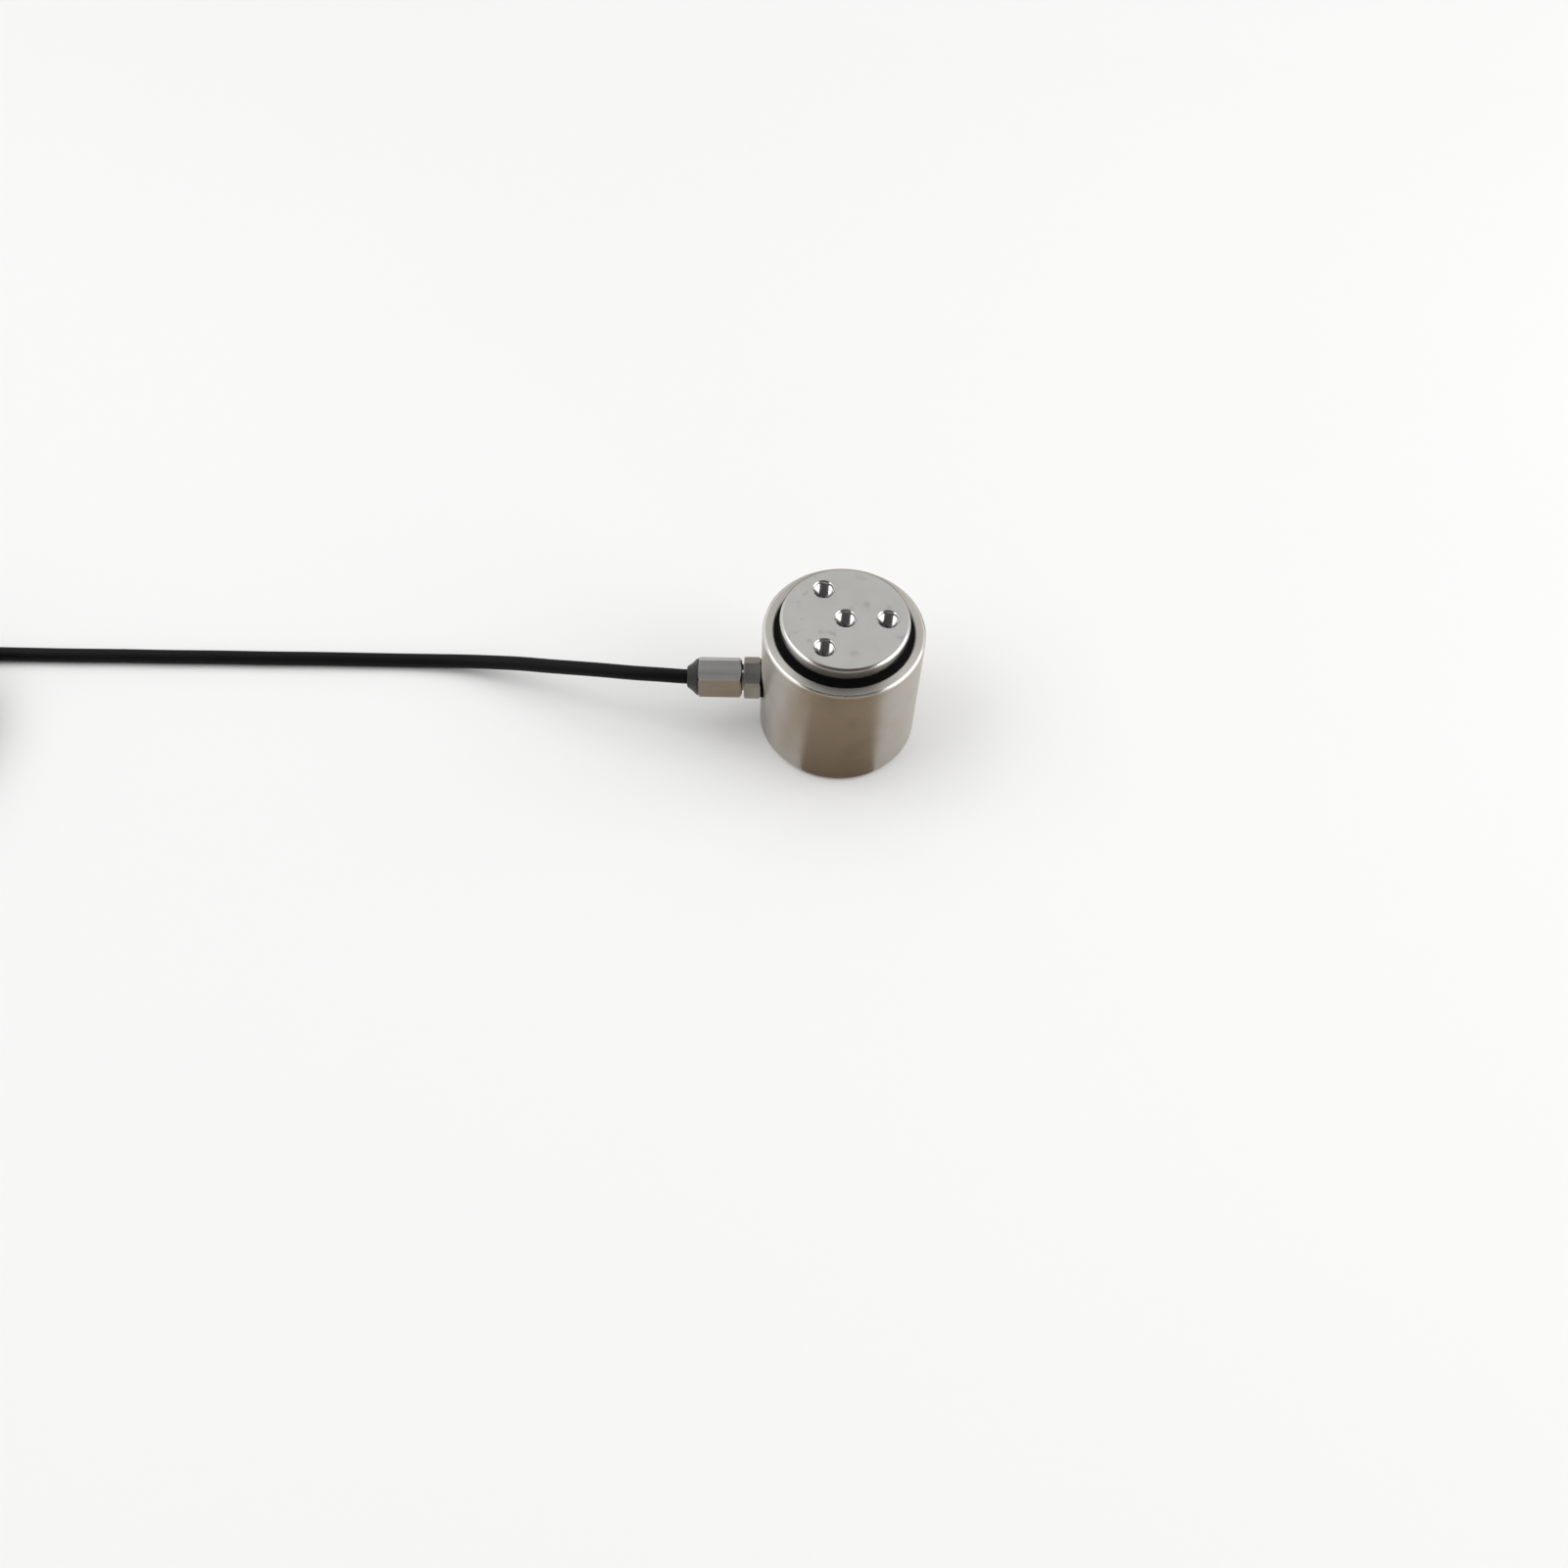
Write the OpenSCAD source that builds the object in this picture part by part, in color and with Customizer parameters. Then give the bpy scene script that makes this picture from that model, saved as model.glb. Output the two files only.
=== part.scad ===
// Column load cell: a turned spring body in a round sleeve, with a cable gland,
// a strain gauge bridge inside and a long cable put away in a tied coil.
// The base face lies at z = 0, the load axis is +Z and the cable leaves along -X.

/* [Sleeve] */
// Outer diameter of the sleeve
sleeve_d = 32; // [31:0.5:38]
// Height of the sleeve's rim above the surface
sleeve_h = 29; // [28:0.5:36]
// Thickness of the sleeve's wall
sleeve_wall = 2.2; // [2:0.1:2.6]
// Chamfer on the sleeve's two outer edges
sleeve_edge = 0.5; // [0.2:0.05:0.6]
// Height of the sleeve's foot above the surface
foot_gap = 0.2; // [0.1:0.05:0.4]

/* [Spring body] */
// Radial gap between the loading disc and the sleeve
disc_gap = 1.1; // [0.8:0.1:1.4]
// Height of the loading face above the sleeve's rim
disc_rise = 3.8; // [3:0.1:6]
// Thickness of the loading disc
disc_t = 9; // [8.8:0.1:10]
// Chamfer on the edges of the loading disc
disc_edge = 0.5; // [0.2:0.05:0.6]
// Thickness of the base flange
flange_t = 6.8; // [6.6:0.1:7.6]
// Radial clearance of the base flange in the sleeve
flange_fit = 0.03; // [0.01:0.01:0.06]
// Width of the column across its gauge flats
column_w = 11.2; // [10.4:0.1:12]
// Diameter of the column across its round corners
column_d = 13.6; // [13:0.1:14.4]
// Radius of the fillets at both ends of the column
neck_r = 1.6; // [1:0.1:1.8]

/* [Tapped holes] */
// Number of holes on each pitch circle
hole_n = 3; // [2:1:6]
// Diameter of the pitch circle
hole_pcd = 16.5; // [15:0.1:17.5]
// Diameter of the wall of each hole, before its thread
hole_d = 3.3; // [2.8:0.1:3.6]
// Diameter of each countersunk mouth
hole_mouth_d = 4.5; // [4:0.1:4.8]
// Depth of the straight wall in the loading disc
hole_top_depth = 7; // [5:0.1:7.4]
// Depth of the straight wall in the base flange
hole_base_depth = 5.2; // [4:0.1:5.3]
// Angle of a drill's point
drill_angle = 118; // [110:1:140]

/* [Seals] */
// Height of the seal's lip on the disc above the rim
seal_creep = 1.4; // [0.8:0.1:1.8]
// Depth of the seal's outer edge below the rim
seal_drop = 0.3; // [0.1:0.1:0.6]
// Depth of the seal's underside below the rim
seal_depth = 2.2; // [1.6:0.1:2.6]
// Depth of the backing ring's groove in the disc
backing_groove = 0.5; // [0.4:0.05:0.6]
// Thickness of the base flange's sealing ring
base_ring_d = 1; // [0.8:0.1:1.2]

/* [Strain gauges] */
// Thickness of a gauge's backing film
film_t = 0.12; // [0.1:0.01:0.2]
// Length of a gauge's backing film
film_l = 5; // [4.4:0.1:5.4]
// Width of a gauge's backing film
film_w = 3; // [2.6:0.1:3.4]
// Thickness of a gauge's foil
foil_t = 0.05; // [0.03:0.01:0.1]
// Number of bars in a gauge's foil grid
foil_bars = 6; // [4:2:8]
// Width of one bar of the grid
foil_bar_w = 0.2; // [0.15:0.01:0.25]
// Gap between the two gauges on one flat
gauge_gap = 1; // [0.6:0.1:1.6]

/* [Terminal board] */
// Thickness of the board
board_t = 1; // [0.8:0.1:1.2]
// Clearance between the board and the column's fillet
board_in_gap = 0.4; // [0.2:0.1:0.6]
// Clearance between the board and the sleeve
board_out_gap = 0.7; // [0.4:0.1:0.9]
// Diameter of a solder pad
pad_d = 1; // [0.8:0.05:1.1]
// Height of a solder pad
pad_h = 0.15; // [0.1:0.01:0.25]
// Length of a trimming resistor
chip_l = 1.6; // [1.2:0.1:1.9]
// Width of a trimming resistor
chip_w = 0.8; // [0.6:0.1:1]
// Height of a trimming resistor
chip_h = 0.5; // [0.4:0.05:0.7]
// Shank diameter of a board screw
screw_d = 1.6; // [1.4:0.1:1.7]
// Length of a board screw under its head
screw_l = 3; // [2.6:0.1:3.4]
// Head diameter of a board screw
screw_head_d = 2.6; // [2.4:0.1:2.8]
// Head height of a board screw
screw_head_h = 0.9; // [0.7:0.1:1.2]
// Width of a screw's slot
slot_w = 0.4; // [0.3:0.05:0.5]
// Diameter of a gauge wire
gauge_wire_d = 0.25; // [0.2:0.01:0.3]

/* [Cable gland] */
// Height of the gland's axis above the surface
gland_z = 13; // [12.5:0.1:14]
// Depth of the flat that is faced on the sleeve for the gland
spot_depth = 0.65; // [0.6:0.05:0.8]
// Diameter of that flat
spot_d = 8.6; // [8.4:0.1:9]
// Diameter of the gland's threaded spigot
spigot_d = 5; // [4.6:0.1:5.2]
// Length of the spigot past the inside of the sleeve
spigot_out = 0.8; // [0.4:0.1:1.2]
// Radial clearance of each threaded pair
thread_gap = 0.03; // [0.02:0.01:0.06]
// Thickness of the gasket
gasket_t = 0.8; // [0.6:0.1:1]
// Outer diameter of the gasket
gasket_d = 8; // [7.4:0.1:8.2]
// Width across the flats of both hexagons
hex_af = 7.5; // [7:0.1:8]
// Length of the body's hexagon
body_hex_l = 3.3; // [2.6:0.1:4]
// Turn of the body's hexagon about its axis
body_turn = 7; // [0:1:59]
// Length of the thread that shows between body and nut
thread_show = 0.4; // [0.2:0.1:0.8]
// Diameter of the thread under the nut
neck_d = 5.8; // [5.6:0.1:6]
// Length of the thread under the nut
neck_l = 4; // [3.6:0.1:4.4]
// Clearance of the bores around the cable
cable_gap = 0.2; // [0.1:0.05:0.3]
// Length of the nut
nut_l = 8.75; // [8.4:0.05:9.6]
// Turn of the nut about its axis
nut_turn = 15; // [0:1:59]
// Length of the rubber seal round the cable
grommet_l = 3; // [2.4:0.1:3.2]
// Outer diameter of the rubber seal
grommet_d = 4.6; // [4.4:0.1:4.8]
// Thickness of the clamping ring
clamp_t = 1; // [0.8:0.1:1.2]
// Thickness of the strain relief's flange in the nut
relief_flange_t = 0.9; // [0.7:0.1:1.1]
// Diameter of the strain relief's neck in the nut
relief_neck_d = 4.4; // [4.2:0.1:4.8]
// Length of the strain relief's cone outside the nut
cone_l = 2.4; // [2:0.1:3]
// Diameter of the cone at the nut
cone_d = 7.6; // [7:0.1:7.8]
// Diameter of the cone at its tip
cone_tip_d = 4.2; // [3.9:0.1:4.6]

/* [Cable] */
// Diameter of the cable
cable_d = 3; // [2.8:0.05:3.1]
// Length of the cable's jacket inside the housing
cable_in = 0.9; // [0.6:0.1:1.2]
// Diameter of one core
core_d = 0.9; // [0.8:0.05:1]
// Diameter of the twisted shield wires
shield_d = 0.3; // [0.2:0.05:0.35]
// Diameter of the coil at the middle of its turns
coil_mid_d = 36; // [33:0.5:40]
// Turns side by side
coil_across = 4; // [3:1:5]
// Turns on top of each other
coil_up = 4; // [2:2:6]
// Thickness of the coil's ties
tie_t = 0.5; // [0.4:0.1:0.8]
// Width of a tie at the middle of the coil
tie_w = 2.5; // [2:0.1:4]
// Number of ties
tie_n = 3; // [2:1:4]
// Length of a tie's lock
lock_l = 3.6; // [3:0.1:4.4]
// Length of the sleeve on the jacket's end
end_sleeve_l = 5; // [4:0.5:8]
// Wall of the sleeve on the jacket's end
end_sleeve_t = 0.2; // [0.15:0.05:0.3]
// Length of the bare cores at the jacket's end
core_show = 12; // [8:0.5:14]

/* [Hidden] */

$fn = 96;
small_fn = 32;
eps = 0.01;

// Radii and levels of the housing
sleeve_r = sleeve_d / 2;
bore_r = sleeve_r - sleeve_wall;
disc_r = bore_r - disc_gap;
flange_r = bore_r - flange_fit;
top_z = sleeve_h + disc_rise;
disc_z = top_z - disc_t;
hole_r = hole_d / 2;
mouth_r = hole_mouth_d / 2;
mouth_depth = mouth_r - hole_r;
drill_tip = hole_r / tan(drill_angle / 2);
bore_edge = 0.2;

// Seals
seal_z = sleeve_h - seal_depth;
backing_in = disc_r - backing_groove;
backing_mid = (backing_in + bore_r) / 2;
backing_half = (bore_r - backing_in) / 2;
backing_z = seal_z - backing_half;
base_groove = base_ring_d * 0.8;
base_ring_z = flange_t / 2;

// Strain gauges, in the frame of one flat that faces +X
flat_x = column_w / 2;
gauge_mid = (disc_z + flange_t) / 2;
axial_z = gauge_mid + (gauge_gap + film_w) / 2;
transverse_z = gauge_mid - (gauge_gap + film_l) / 2;
film_x = flat_x + film_t;
foil_x = film_x + foil_t;
foil_pitch = foil_bar_w * 1.8;
foil_w = foil_pitch * (foil_bars - 1) + foil_bar_w;
foil_l = film_l * 0.5;
tab_w = foil_w * 0.42;
tab_l = film_l * 0.16;
tab_gap = foil_bar_w;
tab_off = foil_w / 2 - tab_w / 2;
flat_turns = [0, 90, 180, 270];

// Terminal board
board_z = flange_t + board_t;
board_in_r = column_d / 2 + neck_r + board_in_gap;
board_out_r = bore_r - board_out_gap;
pad_r = (board_in_r + board_out_r) / 2;
pad_z = board_z + pad_h;
pad_turns = [-12, -4, 4, 12];
lead_turns = [-26, -19, 19, 26, 33];
screw_turns = [45, 315];
chip_turns = [112, 122, 132, 228, 238, 248];
screw_hole_d = screw_d + 0.1;

// Cable gland, with u as the distance out from the sleeve's faced flat
spot_x = -(sleeve_r - spot_depth);
spigot_l = -spot_x - bore_r + spigot_out;
body_u = gasket_t;
neck_u = body_u + body_hex_l;
neck_end_u = neck_u + neck_l;
nut_u = neck_u + thread_show;
nut_end_u = nut_u + nut_l;
clamp_u = neck_end_u;
flange_u = clamp_u + clamp_t;
relief_neck_u = flange_u + relief_flange_t;
tip_u = nut_end_u + cone_l;
hex_ac = hex_af / cos(30);
nut_chamfer = (hex_ac - hex_af) * 0.75;
body_chamfer = (hex_ac - hex_af) * 0.35;
nut_bore_d = neck_d + 2 * thread_gap;
cable_bore_d = cable_d + 2 * cable_gap;

// Cable, as a route from inside the housing to the start of the coil
cable_r = cable_d / 2;
inner_end_x = spot_x + spigot_l + cable_in;
tip_x = spot_x - tip_u;
coil_x = -200;
coil_y = -11.5;
coil_in_r = coil_mid_d / 2 - coil_across * cable_r;
coil_out_r = coil_mid_d / 2 + coil_across * cable_r;
coil_z = tie_t;
coil_h = coil_up * cable_d;
coil_touch = sqrt(pow(coil_out_r, 2) - pow(coil_out_r - cable_d, 2)) + 0.2;
cable_sides = 8;
cable_route = [
    [inner_end_x, 0, gland_z], [spot_x, 0, gland_z], [-22, 0, gland_z], [tip_x, 0, gland_z],
    [-36, 0.4, 12.9], [-42, 1.2, 12.3], [-48, 2.6, 11.1], [-54, 4.3, 9.4],
    [-60, 6.1, 7.5], [-66, 8, 5.6], [-72, 9.5, 3.9], [-78, 10.6, 2.6], [-85, 11.2, 1.8],
    [-92, 11.4, 1.5], [-100, 11.4, 1.5], [-110, 11.4, 1.5], [-120, 11.3, 1.5],
    [-130, 11.3, 1.5], [-140, 11.2, 1.5], [-150, 11.2, 1.5], [-160, 11.1, 1.5],
    [-170, 11.1, 1.5], [-180, 11, 1.7], [coil_x + coil_touch, 11, 1.9]
];

// The jacket's end lies in a notch of the coil's top outer turn
notch_from = 14;
notch_to = 90;
end_r = coil_out_r - cable_r + end_sleeve_t;
end_z = coil_z + coil_h - cable_r + end_sleeve_t;
jacket_stub = 4;
stub_turn = arc_deg(jacket_stub, end_r);
end_sleeve_from = notch_from + arc_deg(1, end_r);
end_sleeve_turn = arc_deg(end_sleeve_l, end_r);
core_from = notch_from + stub_turn;
core_off = core_d * 0.53;
shield_off = core_off + 0.55 * core_d;

// Angle in degrees of an arc of a given length
function arc_deg(length, r) = length / r * 180 / PI;

// Unit vector along v
function unit(v) = v / norm(v);

// Direction of a route at its point i
function heading(route, i) = unit(route[min(i + 1, len(route) - 1)] - route[max(i - 1, 0)]);

// One ring of points round a route, square to its direction
function route_ring(route, i, r, sides) =
    let (
        along = heading(route, i),
        side = unit(cross(along, [0, 1, 0])),
        across = cross(along, side)
    )
    [for (k = [0 : sides - 1]) route[i] + r * (cos(360 * k / sides) * side + sin(360 * k / sides) * across)];

// A round tube of one diameter along a route
module tube(route, d, sides) {
    last = len(route) - 1;
    rings = [for (i = [0 : last]) each route_ring(route, i, d / 2, sides)];
    walls = [
        for (i = [0 : last - 1], k = [0 : sides - 1])
            let (a = i * sides + k, b = i * sides + (k + 1) % sides)
            each [[a, b, b + sides], [a, b + sides, a + sides]]
    ];
    start = [for (k = [sides - 1 : -1 : 0]) k];
    end = [for (k = [0 : sides - 1]) last * sides + k];
    polyhedron(points = rings, faces = concat([start], [end], walls));
}

// A ring with a straight bore, standing on z = 0
module washer(d_out, d_in, h) {
    difference() {
        cylinder(d = d_out, h = h);
        translate([0, 0, -eps]) cylinder(d = d_in, h = h + 2 * eps);
    }
}

// A drilled and countersunk hole, sunk down from z = 0
module drilled_hole(depth) {
    rotate_extrude()
        polygon([
            [0, -depth - drill_tip], [hole_r, -depth], [hole_r, -mouth_depth],
            [mouth_r, 0], [mouth_r, eps], [0, eps]
        ]);
}

// The hole pattern of a face: one hole on the axis and the rest on the pitch circle
module hole_pattern(depth) {
    drilled_hole(depth);
    for (k = [0 : hole_n - 1])
        rotate(360 * k / hole_n) translate([hole_pcd / 2, 0, 0]) drilled_hole(depth);
}

// A concave fillet between a column of radius r and a flange, for rotate_extrude
module fillet_section(r, f) {
    difference() {
        translate([0, -eps]) square([r + f, f + eps]);
        translate([r + f, f]) circle(r = f);
    }
}

// The section of the base flange: round, with a groove for its sealing ring
module flange_blank() {
    difference() {
        cylinder(r = flange_r, h = flange_t);
        translate([0, 0, base_ring_z - base_ring_d / 2])
            washer(2 * flange_r + 1, 2 * (flange_r - base_groove), base_ring_d);
    }
}

// A round ring squeezed between the disc's groove and the sleeve's bore
module backing_torus() {
    translate([0, 0, backing_z])
        rotate_extrude() translate([backing_mid, 0]) circle(r = backing_half, $fn = small_fn);
}

// The loading disc: chamfered above and below, with a groove for the backing ring
module disc_blank() {
    difference() {
        rotate_extrude()
            polygon([
                [0, disc_z], [disc_r - disc_edge, disc_z], [disc_r, disc_z + disc_edge],
                [disc_r, top_z - disc_edge], [disc_r - disc_edge, top_z], [0, top_z]
            ]);
        backing_torus();
    }
}

// The column with four milled gauge flats
module column_blank() {
    intersection() {
        cylinder(d = column_d, h = top_z - 1);
        translate([-column_w / 2, -column_w / 2, 0]) cube([column_w, column_w, top_z]);
    }
}

module spring_body() {
    color("lightgray") difference() {
        union() {
            flange_blank();
            column_blank();
            disc_blank();
            translate([0, 0, flange_t]) rotate_extrude() fillet_section(column_w / 2, neck_r);
            translate([0, 0, disc_z]) mirror([0, 0, 1]) rotate_extrude() fillet_section(column_w / 2, neck_r);
        }
        translate([0, 0, top_z]) hole_pattern(hole_top_depth);
        mirror([0, 0, 1]) hole_pattern(hole_base_depth);
        for (a = screw_turns)
            rotate(a) translate([pad_r, 0, board_z - screw_l]) cylinder(d = screw_d, h = screw_l);
    }
}

module outer_sleeve() {
    color("silver") difference() {
        rotate_extrude()
            polygon([
                [bore_r, foot_gap], [sleeve_r - sleeve_edge, foot_gap], [sleeve_r, foot_gap + sleeve_edge],
                [sleeve_r, sleeve_h - sleeve_edge], [sleeve_r - sleeve_edge, sleeve_h],
                [bore_r + bore_edge, sleeve_h], [bore_r, sleeve_h - bore_edge]
            ]);
        out_from_sleeve(0) cylinder(d = spot_d, h = spot_depth + 1);
        out_from_sleeve(-sleeve_wall - 1) cylinder(d = spigot_d + 2 * thread_gap, h = sleeve_wall + 2);
    }
}

// The bead of soft rubber between disc and sleeve, with a hollow upper face
module top_seal() {
    lip = sleeve_h + seal_creep;
    edge = sleeve_h - seal_drop;
    color("black") rotate_extrude()
        polygon([
            [disc_r, seal_z], [bore_r, seal_z], [bore_r, edge],
            [bore_r - disc_gap * 0.6, edge + (lip - edge) * 0.18],
            [bore_r - disc_gap * 0.88, edge + (lip - edge) * 0.55],
            [disc_r, lip]
        ]);
}

module backing_ring() {
    color("dimgray") backing_torus();
}

module base_ring() {
    color("dimgray") translate([0, 0, base_ring_z - base_ring_d / 2])
        washer(2 * flange_r, 2 * (flange_r - base_groove), base_ring_d);
}

// One gauge film flat on the +X flat, long along Z or along Y
module film(z, w, l) {
    translate([flat_x, -w / 2, z - l / 2]) cube([film_t, w, l]);
}

// One foil: a grid of bars in one winding line and its two tabs, long along Z
module foil() {
    loops = foil_bars - 1;
    loop_y = (foil_l - foil_bar_w) / 2;
    translate([film_x, 0, 0]) rotate([90, 0, 90]) linear_extrude(foil_t) {
        for (k = [0 : loops])
            translate([k * foil_pitch - foil_w / 2, -foil_l / 2]) square([foil_bar_w, foil_l]);
        for (k = [0 : loops - 1])
            translate([k * foil_pitch - foil_w / 2, (k % 2 == 0 ? 1 : -1) * loop_y - foil_bar_w / 2])
                square([foil_pitch + foil_bar_w, foil_bar_w]);
        for (s = [-1, 1])
            translate([s * tab_off - tab_w / 2, -foil_l / 2 - tab_l]) square([tab_w, tab_l + eps]);
    }
}

module axial_gauges() {
    color("darkgoldenrod") for (a = flat_turns) rotate(a) film(axial_z, film_w, film_l);
}

module transverse_gauges() {
    color("darkgoldenrod") for (a = flat_turns) rotate(a) film(transverse_z, film_l, film_w);
}

module axial_foils() {
    color("silver") for (a = flat_turns) rotate(a) translate([0, 0, axial_z]) foil();
}

module transverse_foils() {
    color("silver") for (a = flat_turns) rotate(a) translate([0, 0, transverse_z]) rotate([90, 0, 0]) foil();
}

// An annular board round the foot of the column, screwed to the base flange
module terminal_board() {
    color("darkgreen") difference() {
        translate([0, 0, flange_t]) washer(2 * board_out_r, 2 * board_in_r, board_t);
        for (a = screw_turns)
            rotate(a) translate([pad_r, 0, flange_t - 1]) cylinder(d = screw_hole_d, h = board_t + 2);
    }
}

module solder_pads() {
    color("silver") {
        for (a = flat_turns, b = pad_turns)
            rotate(a + b) translate([pad_r, 0, board_z]) cylinder(d = pad_d, h = pad_h, $fn = small_fn);
        for (b = lead_turns)
            rotate(180 + b) translate([pad_r, 0, board_z]) cylinder(d = pad_d, h = pad_h, $fn = small_fn);
    }
}

module trim_resistors() {
    color("dimgray") for (a = chip_turns)
        rotate(a) translate([pad_r - chip_l / 2, -chip_w / 2, board_z]) cube([chip_l, chip_w, chip_h]);
}

module board_screws() {
    color("silver") for (a = screw_turns)
        rotate(a) translate([pad_r, 0, board_z]) {
            difference() {
                cylinder(d = screw_head_d, h = screw_head_h, $fn = small_fn);
                translate([-screw_head_d, -slot_w / 2, screw_head_h / 2])
                    cube([2 * screw_head_d, slot_w, screw_head_h]);
            }
            translate([0, 0, -screw_l]) cylinder(d = screw_d, h = screw_l + eps, $fn = small_fn);
        }
}

// One gauge wire on the +X flat, from height z at the side y down to the pad at turn a
module gauge_wire(z, y, a) {
    pad_y = pad_r * sin(a);
    pad_x = pad_r * cos(a);
    tube([
        [foil_x, y, z], [foil_x + 0.8, y, z], [foil_x + 1.4, (3 * y + pad_y) / 4, z - 1.2],
        [pad_x - 1.4, (y + 3 * pad_y) / 4, pad_z + 2.4],
        [pad_x, pad_y, pad_z + 0.8], [pad_x, pad_y, pad_z]
    ], gauge_wire_d, cable_sides);
}

module gauge_wires() {
    axial_tab = axial_z - foil_l / 2 - tab_l / 2;
    side_tab = foil_l / 2 + tab_l / 2;
    color("orangered") for (a = flat_turns) rotate(a) {
        gauge_wire(axial_tab, -tab_off, pad_turns[0]);
        gauge_wire(axial_tab, tab_off, pad_turns[1]);
        gauge_wire(transverse_z - tab_off, side_tab, pad_turns[2]);
        gauge_wire(transverse_z + tab_off, side_tab, pad_turns[3]);
    }
}

// One cable core inside the housing, from the jacket's end down to its pad
module inner_lead(y, z, a, d) {
    end_x = pad_r * cos(180 + a);
    end_y = pad_r * sin(180 + a);
    out_x = inner_end_x + 1.4;
    tube([
        [inner_end_x, y, gland_z + z], [inner_end_x + 0.6, y, gland_z + z],
        [out_x, (3 * y + end_y) / 4, gland_z + z - 0.7],
        [(out_x + 2 * end_x) / 3, (y + 2 * end_y) / 3, (gland_z + pad_z) / 2 + z * 0.7],
        [end_x, end_y, pad_z + 0.9], [end_x, end_y, pad_z]
    ], d, cable_sides);
}

module red_lead() {
    color("red") inner_lead(-core_off, core_off, lead_turns[4], core_d);
}

module green_lead() {
    color("green") inner_lead(-core_off, -core_off, lead_turns[3], core_d);
}

module white_lead() {
    color("white") inner_lead(core_off, core_off, lead_turns[0], core_d);
}

module black_lead() {
    color("black") inner_lead(core_off, -core_off, lead_turns[1], core_d);
}

module shield_lead() {
    color("silver") inner_lead(0, -shield_off, lead_turns[2], shield_d);
}

// Places a piece on the gland's axis, u out from the faced flat, along -X
module out_from_sleeve(u) {
    translate([spot_x - u, 0, gland_z]) rotate([0, -90, 0]) children();
}

// A hexagonal bar with its corners turned off at either end, standing on z = 0
module hex_bar(l, chamfer_low, chamfer_high) {
    corner = hex_ac / 2;
    intersection() {
        cylinder(d = hex_ac, h = l, $fn = 6);
        rotate_extrude()
            polygon([
                [0, 0], [corner - chamfer_low, 0], [corner, chamfer_low * 0.6],
                [corner, l - chamfer_high * 0.6], [corner - chamfer_high, l], [0, l]
            ]);
    }
}

module gland_gasket() {
    color("black") out_from_sleeve(0) washer(gasket_d, spigot_d + 2 * thread_gap, gasket_t);
}

module gland_body() {
    color("gainsboro") difference() {
        union() {
            out_from_sleeve(-spigot_l) cylinder(d = spigot_d, h = spigot_l + body_u + eps);
            out_from_sleeve(body_u) rotate(body_turn) hex_bar(body_hex_l, body_chamfer, body_chamfer);
            out_from_sleeve(neck_u - eps) cylinder(d = neck_d, h = neck_l + eps);
        }
        out_from_sleeve(-spigot_l - 1) cylinder(d = cable_bore_d, h = spigot_l + neck_end_u + 2);
        out_from_sleeve(neck_end_u - grommet_l) cylinder(d = grommet_d, h = grommet_l + 1);
    }
}

module cable_grommet() {
    color("black") out_from_sleeve(neck_end_u - grommet_l) washer(grommet_d, cable_d, grommet_l);
}

module clamp_ring() {
    color("white") out_from_sleeve(clamp_u) washer(neck_d, cable_bore_d, clamp_t);
}

module gland_nut() {
    color("gainsboro") difference() {
        out_from_sleeve(nut_u) rotate(nut_turn) hex_bar(nut_l, nut_chamfer, body_chamfer);
        out_from_sleeve(nut_u - 1) cylinder(d = nut_bore_d, h = relief_neck_u - nut_u + 1);
        out_from_sleeve(nut_u) cylinder(d = relief_neck_d, h = nut_l + 1);
    }
}

// The rubber strain relief: a flange held in the nut, a neck and a cone with a round tip
module strain_relief() {
    tip_round = (cone_tip_d - cable_d) / 2;
    neck = relief_neck_u - flange_u;
    face = nut_end_u - flange_u;
    end = tip_u - flange_u;
    color("black") out_from_sleeve(flange_u) rotate_extrude()
        polygon([
            [cable_r, 0], [neck_d / 2, 0], [neck_d / 2, neck], [relief_neck_d / 2, neck],
            [relief_neck_d / 2, face], [cone_d / 2, face], [cone_tip_d / 2, end - tip_round],
            [cable_r + tip_round * 0.8, end - tip_round * 0.4], [cable_r + tip_round * 0.3, end],
            [cable_r, end]
        ]);
}

module cable() {
    color("black") tube(cable_route, cable_d, cable_sides);
}

// Places a piece at the coil's centre, on the surface
module at_coil() {
    translate([coil_x, coil_y, 0]) children();
}

// A round bar bent to an arc of the coil: radius r, height z, from an angle and over a turn
module arc_bar(r, z, from, turn, d) {
    rotate(from) rotate_extrude(angle = turn) translate([r, z]) circle(d = d, $fn = small_fn);
}

module cable_coil() {
    notch = cable_d + 1;
    color("black") at_coil() {
        difference() {
            rotate_extrude() translate([coil_in_r, coil_z]) square([coil_out_r - coil_in_r, coil_h]);
            rotate(notch_from) rotate_extrude(angle = notch_to - notch_from)
                translate([coil_out_r - cable_d, coil_z + coil_h - cable_d]) square([notch, notch]);
        }
        arc_bar(end_r, end_z, notch_from, stub_turn, cable_d);
    }
}

// Flat ties round the coil's section, each with its lock on the outside
module coil_ties() {
    tie_turn = arc_deg(tie_w, coil_mid_d / 2);
    lock_z = coil_z + (coil_h - lock_l) / 2;
    span = coil_out_r - coil_in_r;
    color("whitesmoke") at_coil() for (k = [0 : tie_n - 1]) {
        rotate(360 * k / tie_n - tie_turn / 2) rotate_extrude(angle = tie_turn) difference() {
            translate([coil_in_r - tie_t, 0]) square([span + 2 * tie_t, coil_h + 2 * tie_t]);
            translate([coil_in_r, coil_z]) square([span, coil_h]);
        }
        rotate(360 * k / tie_n) translate([coil_out_r + tie_t / 2, -lock_l / 2, lock_z])
            cube([lock_l * 0.6, lock_l, lock_l]);
    }
}

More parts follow.
